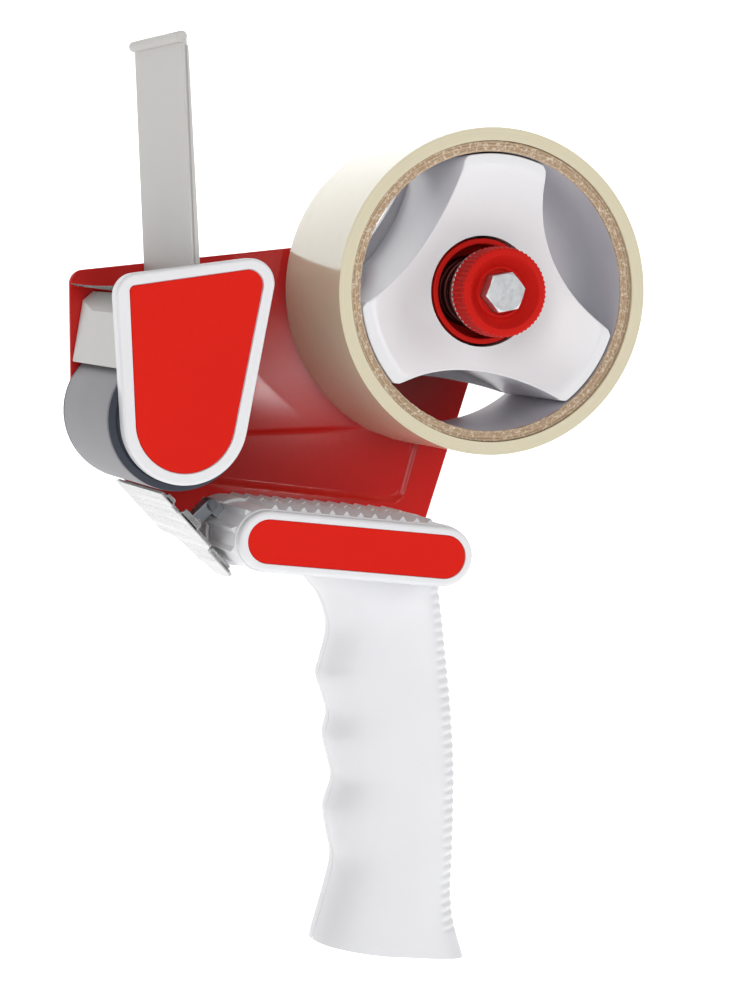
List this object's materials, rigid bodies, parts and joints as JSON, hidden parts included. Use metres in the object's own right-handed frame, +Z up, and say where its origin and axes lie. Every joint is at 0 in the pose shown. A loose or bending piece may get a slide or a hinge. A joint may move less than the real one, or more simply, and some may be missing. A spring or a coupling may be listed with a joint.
{
  "type": "packing tape dispenser",
  "caption": "Hand-held packing tape dispenser with a pistol grip, a braked lobed hub holding a roll of clear tape, a rubber roller, a saw-tooth blade and a wiper flap.",
  "frame": {"origin": "middle of the pistol grip, in the plane halfway between its front and back and near its parting plane", "axes": "+Z up out of the grip towards the side plate, +X towards the roll of tape, +Y towards the side plate, so that the open side faces -Y"},
  "size_m": [0.1532, 0.0659, 0.2562],
  "materials": {
    "red_paint": "glossy red paint over pressed sheet steel",
    "red_plastic": "satin red moulded plastic",
    "white_plastic": "satin off-white moulded plastic with a fine grain",
    "grey_plastic": "light warm grey moulded plastic",
    "navy_plastic": "dark blue-grey moulded plastic",
    "rubber": "grey ground rubber",
    "zinc_steel": "bright zinc plating",
    "bright_steel": "bright rolled steel with fine scratches",
    "dark_steel": "blackened steel",
    "spring_steel": "drawn spring wire",
    "cardboard": "wound brown paper board with cut edges",
    "clear_tape": "clear film wound tight, cream at its cut edges",
    "felt": "pressed felt"
  },
  "bodies": {
    "frame": {"blade": "bright_steel", "blade_holder": "grey_plastic", "blade_screw_1": "zinc_steel", "blade_screw_2": "zinc_steel", "brake_cup": "red_plastic", "brake_felt": "felt", "flap_pin": "zinc_steel", "flap_spring": "spring_steel", "frame_plate": "red_paint", "grip_screw_1": "zinc_steel", "grip_screw_2": "zinc_steel", "guard_badge": "red_plastic", "guard_post": "zinc_steel", "guide_arm": "dark_steel", "guide_pin": "zinc_steel", "guide_spring": "spring_steel", "handle_far_shell": "white_plastic", "handle_near_shell": "white_plastic", "head_badge": "red_plastic", "head_cap": "white_plastic", "head_screw_1": "zinc_steel", "head_screw_2": "zinc_steel", "holder_screw_1": "zinc_steel", "holder_screw_2": "zinc_steel", "post_screw": "zinc_steel", "roller_axle": "zinc_steel", "side_guard": "white_plastic", "spindle": "zinc_steel", "spindle_nut": "zinc_steel"},
    "hub": {"hub_body": "white_plastic", "hub_flange": "white_plastic", "hub_bush": "navy_plastic"},
    "roll": {"tape_core": "cardboard", "tape_roll": "clear_tape"},
    "roller": {"roller_tyre": "rubber", "roller_core": "grey_plastic", "roller_disc_near": "navy_plastic", "roller_disc_far": "navy_plastic"},
    "washer": {"brake_washer": "bright_steel", "brake_spring": "spring_steel"},
    "knob": {"brake_knob": "red_plastic", "knob_bolt": "zinc_steel"},
    "flap": {"wiper_flap": "grey_plastic"},
    "guide": {"tape_guide": "bright_steel"}
  },
  "joints": [
    {"name": "hub_spin", "type": "hinge", "parent": "frame", "child": "hub", "pos_m": [0.028, 0, 0.13], "axis": [0, 1, 0], "continuous": true},
    {"name": "roll_off", "type": "slide", "parent": "hub", "child": "roll", "axis": [0, 1, 0], "range_m": [-0.06, 0]},
    {"name": "roller_spin", "type": "hinge", "parent": "frame", "child": "roller", "pos_m": [-0.06145, 0, 0.09695], "axis": [0, 1, 0], "continuous": true},
    {"name": "knob_travel", "type": "slide", "parent": "frame", "child": "washer", "axis": [0, 1, 0], "range_m": [-0.0006, 0.0006], "deforming": ["brake_spring"]},
    {"name": "knob_turn", "type": "hinge", "parent": "washer", "child": "knob", "pos_m": [0.028, 0, 0.13], "axis": [0, 1, 0], "range_deg": [-180, 180]},
    {"name": "flap_swing", "type": "hinge", "parent": "frame", "child": "flap", "pos_m": [-0.0563, 0, 0.124], "axis": [0, 1, 0], "range_deg": [-8, 30], "stiffness_Nm_per_rad": 0.25},
    {"name": "guide_swing", "type": "hinge", "parent": "frame", "child": "guide", "pos_m": [-0.05255, 0, 0.06747], "axis": [0, 1, 0], "range_deg": [-5, 0], "stiffness_Nm_per_rad": 0.15, "springref_deg": 2.86}
  ],
  "couplings": [
    {"joint": "knob_travel", "follows": "knob_turn", "m_per_rad": 0.00015915}
  ]
}
